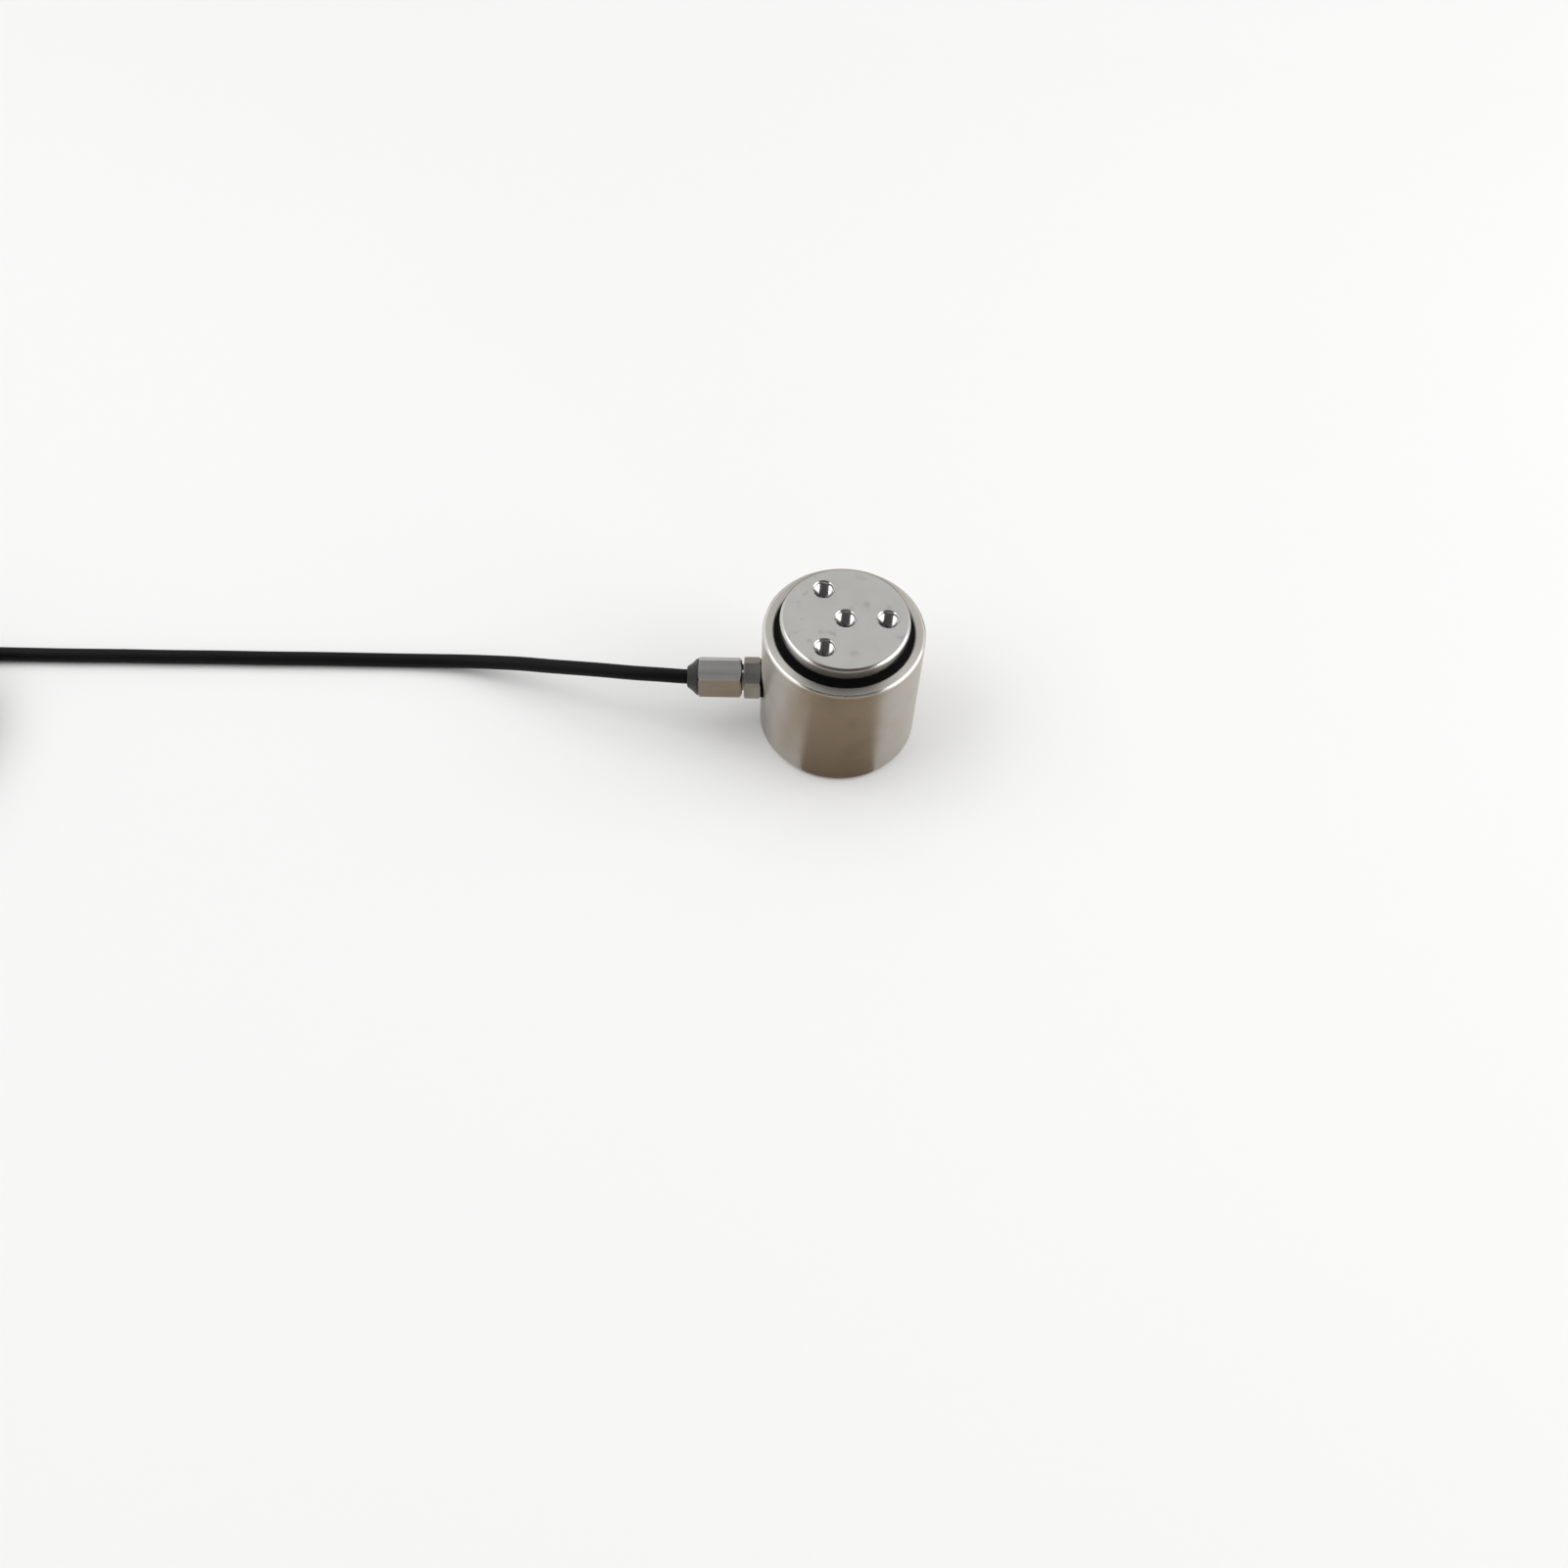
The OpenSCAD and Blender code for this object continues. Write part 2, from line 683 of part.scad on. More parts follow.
module end_sleeve() {
    color("dimgray") at_coil() difference() {
        arc_bar(end_r, end_z, end_sleeve_from, end_sleeve_turn, cable_d + 2 * end_sleeve_t);
        arc_bar(end_r, end_z, end_sleeve_from - 1, end_sleeve_turn + 2, cable_d);
    }
}

// One bare core past the jacket's end, offset from the cable's middle
module end_core(dr, dz, l, d) {
    at_coil() arc_bar(end_r + dr, end_z + dz, core_from, arc_deg(l, end_r), d);
}

module red_core() {
    color("red") end_core(-core_off, core_off, core_show, core_d);
}

module green_core() {
    color("green") end_core(-core_off, -core_off, core_show, core_d);
}

module white_core() {
    color("white") end_core(core_off, core_off, core_show, core_d);
}

module black_core() {
    color("black") end_core(core_off, -core_off, core_show, core_d);
}

module shield_core() {
    color("silver") end_core(shield_off, 0, core_show * 0.8, shield_d);
}

spring_body();
outer_sleeve();
top_seal();
backing_ring();
base_ring();
axial_gauges();
transverse_gauges();
axial_foils();
transverse_foils();
terminal_board();
solder_pads();
trim_resistors();
board_screws();
gauge_wires();
red_lead();
green_lead();
white_lead();
black_lead();
shield_lead();
gland_gasket();
gland_body();
cable_grommet();
clamp_ring();
gland_nut();
strain_relief();
cable();
cable_coil();
coil_ties();
end_sleeve();
red_core();
green_core();
white_core();
black_core();
shield_core();
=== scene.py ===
# %% [markdown]
# # A column load cell, dressed for the camera
# The cell is a round block of turned metal with a raised loading disc, a hexagonal gland on its
# side and a long thin cable. The measured model is loaded first. Its pieces are the reference:
# the ones that show are modelled again here with softer edges and finer forms, and the ones that
# are sealed inside keep their mesh and get a finish of their own.

# %% Load the measured model
import math

import bpy
from mathutils import Matrix, Vector


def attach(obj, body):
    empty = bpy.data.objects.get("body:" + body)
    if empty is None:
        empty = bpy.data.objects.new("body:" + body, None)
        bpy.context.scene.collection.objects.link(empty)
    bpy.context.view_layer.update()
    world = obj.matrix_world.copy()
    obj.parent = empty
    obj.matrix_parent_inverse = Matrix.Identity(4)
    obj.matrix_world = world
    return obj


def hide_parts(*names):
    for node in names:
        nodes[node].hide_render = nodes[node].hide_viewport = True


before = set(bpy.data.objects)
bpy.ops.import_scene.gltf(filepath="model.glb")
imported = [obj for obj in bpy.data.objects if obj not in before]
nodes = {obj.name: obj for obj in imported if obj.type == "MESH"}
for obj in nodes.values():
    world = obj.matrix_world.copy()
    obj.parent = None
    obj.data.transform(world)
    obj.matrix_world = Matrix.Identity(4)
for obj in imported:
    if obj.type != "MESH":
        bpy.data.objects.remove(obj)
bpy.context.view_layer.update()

mm = 0.001

# %% [markdown]
# ## The camera
# The picture looks down at the cell from the front, a little from the left, and the camera is
# rolled slightly. Its place and its three directions come from the edges of the object, and the
# focal length is a moderate one.

# %% Place the camera
camera_data = bpy.data.cameras.new("front_camera")
camera_data.lens = 37.19
camera_data.sensor_width = 36
camera = bpy.data.objects.new("front_camera", camera_data)
bpy.context.scene.collection.objects.link(camera)
to_right = Vector((0.999589, 0.001458, 0.028631))
to_top = Vector((-0.016708, 0.841178, 0.5405))
to_eye = Vector((-0.023296, -0.540756, 0.840857))
turn = Matrix((to_right, to_top, to_eye)).transposed().to_4x4()
camera.matrix_world = Matrix.Translation((-0.01863, -0.195985, 0.278051)) @ turn
bpy.context.scene.camera = camera
print("camera at", [round(v, 3) for v in camera.location])

# %% [markdown]
# ## The route of the cable
# The cable leaves the gland level, sinks under its own weight and lies on the surface after about
# 60 mm. The stretch that nobody looks at is put away in a flat round coil, four turns wide and
# four high, wound in from the outside, up, out again and so on, as a winder would lay it. One
# curve follows all of it, so that the cable has its real length.

# %% Points of the free stretch
cable_mm = 3
cable_d = cable_mm * mm
coil_middle = Vector((-200, -11.5, 0)) * mm
route = [
    (-12.1, 0, 13), (-15.35, 0, 13), (-22, 0, 13), (-31, 0, 13), (-36, 0.4, 12.9), (-42, 1.2, 12.3),
    (-48, 2.6, 11.1), (-54, 4.3, 9.4), (-60, 6.1, 7.5), (-66, 8, 5.6), (-72, 9.5, 3.9),
    (-78, 10.6, 2.6), (-85, 11.2, 1.8), (-92, 11.4, 1.5), (-100, 11.4, 1.5), (-110, 11.4, 1.5),
    (-120, 11.3, 1.5), (-130, 11.3, 1.5), (-140, 11.2, 1.5), (-150, 11.2, 1.5), (-160, 11.1, 1.5),
    (-170, 11.1, 1.5), (-180, 11, 1.7), (-188.2, 11, 1.9),
]
print(len(route), "points on the free stretch")

# %% Points of the coil
# Each step says at which running angle the cable moves, in radius or in height, and how far. The
# stub is the cable's last bit, which lies a little clear of its neighbours. Lengths are in mm.
outer_radius, first_level = 22.5, 2
stub_length, stub_lift, stub_radius = 4, 0.2, 22.7
stub_from = 5774
stub_turn = stub_length / stub_radius * 180 / math.pi
inward, outward, upward = -cable_mm, cable_mm, cable_mm
steps = [(360 * n, "r", inward) for n in (1, 2, 3)] + [(1440, "z", upward)]
steps += [(360 * n, "r", outward) for n in (5, 6, 7)] + [(2880, "z", upward)]
steps += [(360 * n, "r", inward) for n in (9, 10, 11)] + [(4500, "z", upward)]
steps += [(4770 + 360 * n, "r", outward) for n in (0, 1, 2)]


def ease(t):
    """A smooth step from 0 to 1."""
    return 0.5 - 0.5 * math.cos(math.pi * min(max(t, 0), 1))


def coil_point(angle, out=0.0, up=0.0):
    """The middle of the cable in the coil, at a running angle in degrees from the coil's +X side."""
    radius, level = outer_radius + out, first_level + up
    for start, way, change in steps:
        moved = change * ease((angle - start) / 90)
        radius += moved if way == "r" else 0
        level += moved if way == "z" else 0
    lift = stub_lift * ease((angle - stub_from + 9) / 9)
    turned_by = math.radians(angle)
    offset = Vector((math.cos(turned_by), math.sin(turned_by), 0)) * (radius + lift)
    return coil_middle + (offset + Vector((0, 0, level + lift))) * mm


coil_angles = list(range(90, stub_from, 14)) + [stub_from, stub_from + stub_turn]
path = [Vector(p) * mm for p in route] + [coil_point(a) for a in coil_angles]
print(len(coil_angles), "points on the coil")

# %% The cable as one curve


def wire(name, points, diameter, sides=5, fine=3, radii=None):
    """A round wire along smooth points, as a curve with its real thickness."""
    line = bpy.data.curves.new(name, "CURVE")
    line.dimensions = "3D"
    line.resolution_u = line.render_resolution_u = fine
    line.bevel_depth = diameter / 2
    line.bevel_resolution = sides
    line.use_fill_caps = True
    spline = line.splines.new("BEZIER")
    spline.bezier_points.add(len(points) - 1)
    for k, (point, place) in enumerate(zip(spline.bezier_points, points)):
        point.co = place
        point.handle_left_type = point.handle_right_type = "AUTO"
        point.radius = radii[k] if radii else 1.0
    made = bpy.data.objects.new(name, line)
    bpy.context.scene.collection.objects.link(made)
    return made


cable = wire("cable_jacket", path, cable_d)

# %% [markdown]
# ## Finishes
# Every finish is a Principled shader with patterns in its colour, roughness and bump. To keep the
# sums readable, a small class wraps a socket so that it can be added and multiplied in plain
# Python, and one method adds every other kind of node.

# %% A socket that can be used in sums


class Tone:
    """A value of a finish that varies over the surface."""

    def __init__(self, finish, socket):
        self.finish = finish
        self.socket = socket

    def math(self, operation, *values):
        return self.finish.node("Math", {"operation": operation}, values)

    def __add__(self, other):
        return self.math("ADD", self, other)

    def __sub__(self, other):
        return self.math("SUBTRACT", self, other)

    def __rsub__(self, other):
        return self.math("SUBTRACT", other, self)

    def __mul__(self, other):
        return self.math("MULTIPLY", self, other)

    def __pow__(self, other):
        return self.math("POWER", self, other)

    __radd__ = __add__
    __rmul__ = __mul__

    def between(self, low, high):
        """0 below low, 1 above high, smooth in between."""
        return self.finish.node(
            "MapRange", {"interpolation_type": "SMOOTHSTEP"}, {0: self, 1: low, 2: high, 3: 0, 4: 1}
        )


print("Tone adds, subtracts, multiplies, raises to a power and steps between two values")

# %% A tree of nodes


class Nodes:
    """The nodes of a material or of the world, with one method that adds a node."""

    def __init__(self, owner, shader, constants):
        self.owner = owner
        owner.use_nodes = True
        self.tree = owner.node_tree
        self.shader = self.tree.nodes[shader]
        for socket, value in constants.items():
            self.feed(self.shader.inputs[socket], value)

    def feed(self, socket, value):
        if isinstance(value, Tone):
            self.tree.links.new(value.socket, socket)
        elif hasattr(value, "__len__") and len(value) == 3 and len(socket.default_value) == 4:
            socket.default_value = (*value, 1)
        else:
            socket.default_value = value

    def node(self, kind, settings, values, out=0):
        """Adds one node: its settings first, then the values or links of its sockets."""
        made = self.tree.nodes.new("ShaderNode" + kind)
        for key, value in settings.items():
            setattr(made, key, value)
        for key, value in values.items() if isinstance(values, dict) else enumerate(values):
            self.feed(made.inputs[key], value)
        return Tone(self, made.outputs[out])

    def seen(self):
        """1 where the camera looks, straight or by way of a mirror or glass, and 0 for stray light."""
        ways = ("Camera", "Glossy", "Transmission")
        rays = [self.node("LightPath", {}, {}, f"Is {way} Ray") for way in ways]
        return rays[0] + rays[1] + rays[2]


print("Nodes adds any node of a material or of the world")

# %% A finish


class Finish(Nodes):
    """A material with one Principled shader and the patterns that feed it."""

    sockets = {"colour": "Base Color", "roughness": "Roughness", "glow": "Emission Color"}

    def __init__(self, name, constants):
        super().__init__(bpy.data.materials.new(name), "Principled BSDF", constants)
        self.material = self.owner
        self.place = self.node("TexCoord", {}, {}, "Object")
        self.x, self.y, self.z = (self.node("SeparateXYZ", {}, [self.place], k) for k in range(3))

    def noise(self, scale, detail, stretch=(1, 1, 1)):
        """Soft random tone from 0 to 1. Stretch squeezes the pattern along an axis."""
        where = self.node("Mapping", {"vector_type": "POINT"}, {"Vector": self.place, "Scale": stretch})
        return self.node("TexNoise", {}, {"Vector": where, "Scale": scale, "Detail": detail})

    def lines(self, along, scale, detail=4):
        """Random fine lines that follow one measure, such as a radius or a height."""
        settings = {"noise_dimensions": "1D"}
        return self.node("TexNoise", settings, {"W": along, "Scale": scale, "Detail": detail})

    def mix(self, amount, low, high):
        """A colour between two colours."""
        return self.node("Mix", {"data_type": "RGBA"}, {0: amount, 6: low, 7: high}, 2)

    def use(self, **tones):
        """Feeds the shader: colour, roughness, glow, or height for its bump in metres."""
        for key, tone in tones.items():
            if key == "height":
                tone = self.node("Bump", {}, {"Strength": 1.0, "Distance": 1.0, "Height": tone})
                self.feed(self.shader.inputs["Normal"], tone)
            else:
                self.feed(self.shader.inputs[self.sockets[key]], tone)
        print(self.owner.name, "has", len(self.tree.nodes), "nodes")


def around(finish):
    """The distance from the load axis, in metres."""
    return (finish.x * finish.x + finish.y * finish.y) ** 0.5


print("Finish feeds", ", ".join(Finish.sockets), "and height")

# %% [markdown]
# ## The metal of the loading disc
# The disc's face is blasted to an even pale grey, with a fine grain and a few faint smudges from
# handling. Its chamfer and its side are left as turned, so they are smoother, with fine lines round
# the axis. Their brighter colour, and that of the bores, is partly the turned metal's own and partly
# a painted highlight. The piece could have two materials, but masks on height and on distance from
# the axis do it in one and can fade from one metal into the other.

# %% Finish of the spring body
disc_finish = Finish("blasted_metal", {"Metallic": 1.0})
reach = around(disc_finish)
outside = reach.between(12.1 * mm, 12.22 * mm)
below_face = 1 - disc_finish.z.between(32.70 * mm, 32.77 * mm)
smooth_part = outside + below_face * (1 - outside)
bored = below_face * (1 - outside)
grain = disc_finish.noise(5200, 2)
cloud = disc_finish.noise(190, 4)
smudge = disc_finish.noise(420, 3).between(0.58, 0.76) * (1 - smooth_part)
rings = disc_finish.lines(disc_finish.z + reach, 5200)
face = disc_finish.mix(cloud, (0.305, 0.303, 0.291), (0.36, 0.356, 0.341))
face = disc_finish.mix(smudge * 0.25, face, (0.17, 0.17, 0.17))
# The brighter tone of the chamfer, the side and the bores is partly a painted highlight.
smooth = disc_finish.mix(bored, (0.55, 0.54, 0.52), (0.56, 0.55, 0.53))
disc_finish.use(
    colour=disc_finish.mix(smooth_part, face, smooth),
    roughness=0.46 - outside * 0.24 - bored * 0.28 + (grain - 0.5) * 0.12 * (1 - bored) + smudge * 0.1,
    height=(grain * (1 - smooth_part) * 6 + rings * outside * 8) * 1e-6,
)

# %% [markdown]
# ## The metal of the sleeve
# The sleeve is turned on a lathe. Its grooves are too fine to see one by one, but they smear every
# reflection up and down, which is what makes the broad upright bands on its side. An anisotropic
# shader does that smear, and faint lines round the axis break it up.

# %% Finish of the sleeve
sleeve_finish = Finish("turned_metal", {"Metallic": 1.0, "Anisotropic": 0.9, "Anisotropic Rotation": 0.25})
reach = around(sleeve_finish)
height_lines = sleeve_finish.lines(sleeve_finish.z, 2600, 6)
edge = reach.between(15.35 * mm, 15.6 * mm) * sleeve_finish.z.between(28.3 * mm, 28.6 * mm)
rim = sleeve_finish.z.between(28.7 * mm, 28.95 * mm) * (1 - edge)
stain = sleeve_finish.noise(150, 4).between(0.45, 0.75)
# A thin band just above the foot, painted bright: a painted highlight line.
foot = 1 - sleeve_finish.z.between(0.9 * mm, 1.0 * mm)
wall = sleeve_finish.mix(height_lines, (0.39, 0.36, 0.32), (0.47, 0.44, 0.395))
wall = sleeve_finish.mix(stain * 0.3, wall, (0.31, 0.27, 0.23))
wall = sleeve_finish.mix(rim, wall, (0.36, 0.345, 0.32))
# The bright colour on the rim's chamfer and on the foot band is a painted highlight; the chamfer is also
# smoother.
sleeve_finish.use(
    colour=sleeve_finish.mix(edge + foot, wall, (0.62, 0.60, 0.56)),
    roughness=0.35 - edge * 0.11 + rim * 0.09 + (height_lines - 0.5) * 0.08 + stain * 0.04,
    height=height_lines * 3e-6,
)

# %% [markdown]
# ## The other finishes that show
# The gland is plated, with drawing marks along its flats. Its edges are worn, and their colour, much
# brighter than the plate, is also a painted highlight. Rubber, jacket and nylon are moulded: their
# colour hardly varies, and their grain and sheen do the work.

# %% Finish of the gland
gland_finish = Finish("plated_metal", {"Metallic": 1.0})
drawn_marks = gland_finish.noise(900, 4, (0.06, 1, 1))
specks = gland_finish.noise(1500, 3).between(0.58, 0.72)
plate = gland_finish.mix(drawn_marks, (0.30, 0.30, 0.29), (0.40, 0.395, 0.38))
gland_finish.use(
    colour=gland_finish.mix(specks * 0.4, plate, (0.28, 0.26, 0.23)),
    roughness=0.26 + drawn_marks * 0.12 + specks * 0.12,
    height=drawn_marks * 8e-6,
)
# The edges' finish is wear and a painted highlight: its colour is far brighter than the plate's.
worn_edge = Finish("worn_edge", {"Metallic": 1.0})
rubbed = worn_edge.noise(1400, 3)
worn_edge.use(
    colour=worn_edge.mix(rubbed, (0.60, 0.59, 0.57), (0.84, 0.83, 0.80)),
    roughness=0.22 + rubbed * 0.14,
)

# %% Finishes of rubber and plastics


def soft_finish(name, low, high, roughness, grain_scale=2500, grain_height=4e-6, metallic=0.0, gloss=0.5):
    """A moulded finish: two close tones, a fine grain and an uneven sheen."""
    finish = Finish(name, {"Metallic": metallic, "Specular IOR Level": gloss})
    grain = finish.noise(grain_scale, 3)
    cloud = finish.noise(grain_scale / 12, 3)
    finish.use(
        colour=finish.mix(cloud, low, high),
        roughness=roughness + (grain - 0.5) * 0.16 + (cloud - 0.5) * 0.1,
        height=grain * grain_height,
    )
    return finish


rubber = soft_finish(
    "black_rubber", (0.001, 0.001, 0.001), (0.003, 0.003, 0.003), 0.6, 3500, 8e-6, gloss=0.06
)
relief_rubber = soft_finish(
    "relief_rubber", (0.006, 0.006, 0.005), (0.014, 0.013, 0.011), 0.34, 2600, 8e-6, gloss=0.4
)
grey_rubber = soft_finish("grey_rubber", (0.05, 0.05, 0.05), (0.07, 0.07, 0.07), 0.6)
jacket = soft_finish("cable_jacket", (0.002, 0.002, 0.002), (0.005, 0.005, 0.005), 0.5, 2200, 7e-6, gloss=0.1)
end_tube = soft_finish("end_tube", (0.016, 0.016, 0.017), (0.028, 0.028, 0.030), 0.40, 2600, 6e-6)
nylon = soft_finish("nylon", (0.74, 0.74, 0.70), (0.82, 0.82, 0.79), 0.38, 1800, 5e-6)
print("six moulded finishes made")

# %% Finishes of the small metal parts and of what is sealed inside


def metal_finish(name, low, high, roughness, scale=1800):
    """A plain metal with small tone changes."""
    return soft_finish(name, low, high, roughness, scale, 3e-6, metallic=1.0)


tinned = metal_finish("tinned_wires", (0.55, 0.55, 0.54), (0.72, 0.72, 0.70), 0.32, 4000)
foil_finish = metal_finish("etched_foil", (0.58, 0.55, 0.50), (0.68, 0.65, 0.60), 0.35)
solder_finish = metal_finish("solder", (0.60, 0.60, 0.60), (0.74, 0.74, 0.73), 0.28)
screw_finish = metal_finish("screw_steel", (0.55, 0.55, 0.54), (0.68, 0.68, 0.66), 0.30)
film_finish = soft_finish("amber_film", (0.50, 0.27, 0.06), (0.66, 0.38, 0.10), 0.32)
board_finish = soft_finish("green_laminate", (0.015, 0.13, 0.055), (0.025, 0.19, 0.085), 0.36)
chip_finish = soft_finish("dark_ceramic", (0.04, 0.04, 0.045), (0.06, 0.06, 0.065), 0.5)
enamel_finish = soft_finish("enamelled_wire", (0.46, 0.12, 0.035), (0.60, 0.19, 0.06), 0.3)
core_tones = {
    "red": (0.50, 0.02, 0.02), "green": (0.02, 0.26, 0.06), "white": (0.74, 0.74, 0.71),
    "black": (0.016, 0.016, 0.016),
}
core_finishes = {
    name: soft_finish(name + "_core", [0.8 * c for c in tone], tone, 0.36)
    for name, tone in core_tones.items()
}
print("sealed finishes made")

# %% [markdown]
# ## Tools for turned pieces
# Most of the cell comes off a lathe. By hand one would draw half of the section and spin it round
# the axis, and that is what these helpers do. A stack of cylinders would do for plain steps, but a
# drawn section takes every groove and chamfer at once and leaves no seams between the steps.

# %% Select and draw


def clear():
    """Object mode, and nothing selected."""
    if bpy.context.object and bpy.context.object.mode != "OBJECT":
        bpy.ops.object.mode_set(mode="OBJECT")
    bpy.ops.object.select_all(action="DESELECT")


def pick(piece):
    """Selects one piece and makes it active."""
    clear()
    piece.select_set(True)
    bpy.context.view_layer.objects.active = piece


def draw(name, outline):
    """A chain of edges, drawn point by point from a single vertex."""
    clear()
    bpy.ops.mesh.primitive_plane_add(size=mm)
    piece = bpy.context.object
    piece.name = piece.data.name = name
    bpy.ops.object.mode_set(mode="EDIT")
    bpy.ops.mesh.select_mode(type="VERT")
    bpy.ops.mesh.select_all(action="SELECT")
    bpy.ops.mesh.merge(type="CENTER")
    bpy.ops.transform.translate(value=outline[0])
    for here, there in zip(outline, outline[1:]):
        bpy.ops.mesh.extrude_vertices_move(TRANSFORM_OT_translate={"value": there - here})
    return piece


print("tools to select and draw ready")

# %% Spin a drawn section


def tidy():
    """In edit mode: merges doubles and points all faces outwards."""
    bpy.ops.mesh.select_all(action="SELECT")
    bpy.ops.mesh.remove_doubles(threshold=2e-6)
    bpy.ops.mesh.normals_make_consistent(inside=False)
    bpy.ops.object.mode_set(mode="OBJECT")


def spin(name, outline, around_steps, centre, axis):
    """The drawn section, spun round an axis."""
    piece = draw(name, outline)
    bpy.ops.mesh.select_all(action="SELECT")
    bpy.ops.mesh.spin(steps=around_steps, angle=2 * math.pi, center=centre, axis=axis)
    tidy()
    return piece


def turned(name, outline, around_steps=160):
    """A piece turned on the load axis. The outline is in mm: radius and height."""
    return spin(name, [Vector((r, 0, z)) * mm for r, z in outline], around_steps, (0, 0, 0), (0, 0, 1))


print("tools to spin ready")

# %% [markdown]
# ## The spring body
# This is the part that is squeezed: a loading disc on top, a thin column with four milled flats in
# the middle, and a flange at the base. It is one turned piece, so its whole section is drawn at
# once. A narrow extra ring inside the face's edge keeps the shading of the face flat.

# %% Turn the spring body
groove = [(12.7, 25.26), (12.35, 25.53), (12.2, 26.0), (12.35, 26.47), (12.7, 26.74)]
body_line = [
    (0, 0), (13.4, 0), (13.5, 0), (13.77, 0.27), (13.77, 2.9), (12.97, 2.9), (12.97, 3.9),
    (13.77, 3.9), (13.77, 6.6), (13.57, 6.8), (7.2, 6.8), (6.85, 7.0), (6.8, 7.4), (6.8, 23.2),
    (6.85, 23.6), (7.2, 23.8), (12.2, 23.8), (12.7, 24.3), *groove, (12.7, 32.22), (12.7, 32.32),
    (12.62, 32.46), (12.28, 32.72), (12.12, 32.8), (12.0, 32.8), (0, 32.8),
]
body = turned("spring_body_metal", body_line, 192)
print("spring body height in mm:", round(max(v.co.z for v in body.data.vertices) * 1000, 2))

# %% [markdown]
# ## The column's flats
# Gauges are glued on flat metal, so the column is milled flat on four sides, and the mill leaves a
# round corner above and below each flat. The faces could be pushed in by hand, but a cutter with
# two rounded edges does what the mill does. It is made once and copied round the axis.

# %% Cut and copy


def apply_all(piece):
    """Applies every modifier of a piece."""
    pick(piece)
    for modifier in list(piece.modifiers):
        bpy.ops.object.modifier_apply(modifier=modifier.name)


def combine(piece, other, operation):
    """Cuts, joins or intersects a piece with another solid, which is used up."""
    boolean = piece.modifiers.new("cut", "BOOLEAN")
    boolean.operation = operation
    boolean.object = other
    boolean.solver = "EXACT"
    apply_all(piece)
    bpy.data.objects.remove(other)


def repeat(piece, places):
    """Copies of a piece at several places, joined into it."""
    copies = []
    for place in places:
        other = piece.copy()
        other.data = piece.data.copy()
        other.matrix_world = place
        bpy.context.scene.collection.objects.link(other)
        copies.append(other)
    name = piece.name
    bpy.data.objects.remove(piece)
    clear()
    for other in copies:
        other.select_set(True)
    bpy.context.view_layer.objects.active = copies[0]
    bpy.ops.object.join()
    bpy.ops.object.transform_apply(location=True, rotation=True, scale=True)
    joined = bpy.context.object
    joined.name = joined.data.name = name
    return joined


print("tools to cut and copy ready")

# %% Mill the four flats of the column
clear()
bpy.ops.mesh.primitive_cube_add(size=1)
cutter = bpy.context.object
cutter.scale = Vector((6, 16, 16.94)) * mm
cutter.location = Vector((8.6, 0, 15.3)) * mm
bpy.ops.object.transform_apply(location=True, rotation=True, scale=True)
bpy.ops.object.mode_set(mode="EDIT")
bpy.ops.mesh.select_all(action="DESELECT")
bpy.ops.object.mode_set(mode="OBJECT")
for edge_line in cutter.data.edges:
    ends = [cutter.data.vertices[k].co for k in edge_line.vertices]
    edge_line.select = all(p.x < 6 * mm for p in ends) and abs(ends[0].z - ends[1].z) < mm
bpy.ops.object.mode_set(mode="EDIT")
bpy.ops.mesh.select_mode(type="EDGE")
bpy.ops.mesh.bevel(offset=1.6 * mm, segments=6, affect="EDGES")
bpy.ops.object.mode_set(mode="OBJECT")
cutter.name = "flat_cutter"
cutter = repeat(cutter, [Matrix.Rotation(math.radians(a), 4, "Z") for a in (0, 90, 180, 270)])
combine(body, cutter, "DIFFERENCE")
print("faces after milling:", len(body.data.polygons))

# %% [markdown]
# ## The tapped holes
# Four holes in the disc and four in the base take screws. A tapped hole is a bore with a helical
# ridge in it and a countersunk mouth. The bore is cut at the thread's outer size, and the ridge is
# a triangle that the Screw modifier carries up round the hole.

# %% Drill the holes
hole_circle, disc_top = 8.25, 32.8
hole_spots = [Vector((0, 0, 0))] + [
    Vector((math.cos(a), math.sin(a), 0)) * hole_circle * mm
    for a in (0, 2 * math.pi / 3, 4 * math.pi / 3)
]
top_places = [Matrix.Translation(spot + Vector((0, 0, disc_top * mm))) for spot in hole_spots]
base_places = [Matrix.Translation(spot) @ Matrix.Rotation(math.pi, 4, "X") for spot in hole_spots]
for label, depth, places in (("top", 6.9, top_places), ("base", 5.1, base_places)):
    bore = [(0, -depth - 1.1), (2.0, -depth), (2.0, -0.27), (2.25, -0.02), (2.27, 0.3), (0, 0.3)]
    drill = repeat(turned(label + "_drill", bore, 48), places)
    combine(body, drill, "DIFFERENCE")
print("faces after drilling:", len(body.data.polygons))

# %% Shade a piece, give it its finish and tie it to the model


def flatten_shading(piece, angle):
    """Smooth shading that still leaves the broad faces flat."""
    pick(piece)
    bpy.ops.object.shade_smooth_by_angle(angle=math.radians(angle))
    weighted = piece.modifiers.new("broad_faces", "WEIGHTED_NORMAL")
    weighted.keep_sharp = True
    apply_all(piece)


def dress(piece, finish, slot, *stands_for, angle=32):
    """Shades a piece, gives it its finish, and ties it to the model."""
    if piece.type == "MESH":
        flatten_shading(piece, angle)
    if not piece.data.materials:
        piece.data.materials.append(finish.material)
    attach(piece, "root")
    if stands_for:
        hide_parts(*stands_for)
    faces = len(piece.data.polygons) if piece.type == "MESH" else 0
    print(piece.name, "faces:", faces)


dress(body, disc_finish, "spring_metal", "spring_body")

# %% Cut the threads


